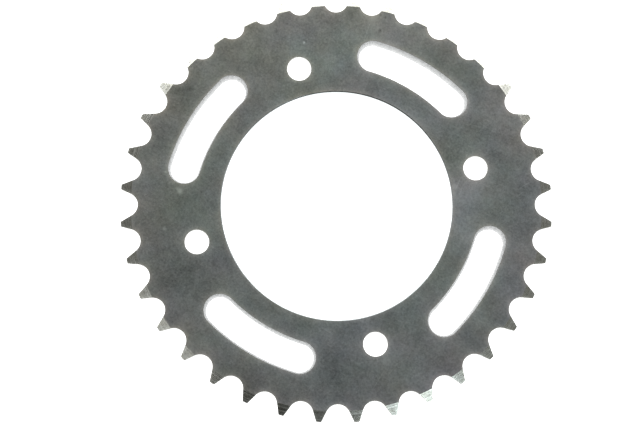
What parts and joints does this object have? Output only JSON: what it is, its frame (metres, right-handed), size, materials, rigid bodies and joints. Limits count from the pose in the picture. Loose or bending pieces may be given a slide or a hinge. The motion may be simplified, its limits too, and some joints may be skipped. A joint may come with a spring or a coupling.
{
  "type": "chain sprocket",
  "caption": "Flat steel rear chain sprocket: a toothed ring with bevelled tooth sides, a large centre bore, bolt holes and curved lightening slots.",
  "frame": {"origin": "centre of the bore at the plate's back face, which the plate lies on", "axes": "+Z along the bore axis, out of the outer face; +X and +Y each midway between two bolt holes, through the slots"},
  "size_m": [0.187, 0.187, 0.006],
  "materials": {
    "plate_steel": "fine matt steel with a thin oil film"
  },
  "bodies": {
    "root": {"sprocket_plate": "plate_steel"}
  },
  "joints": []
}
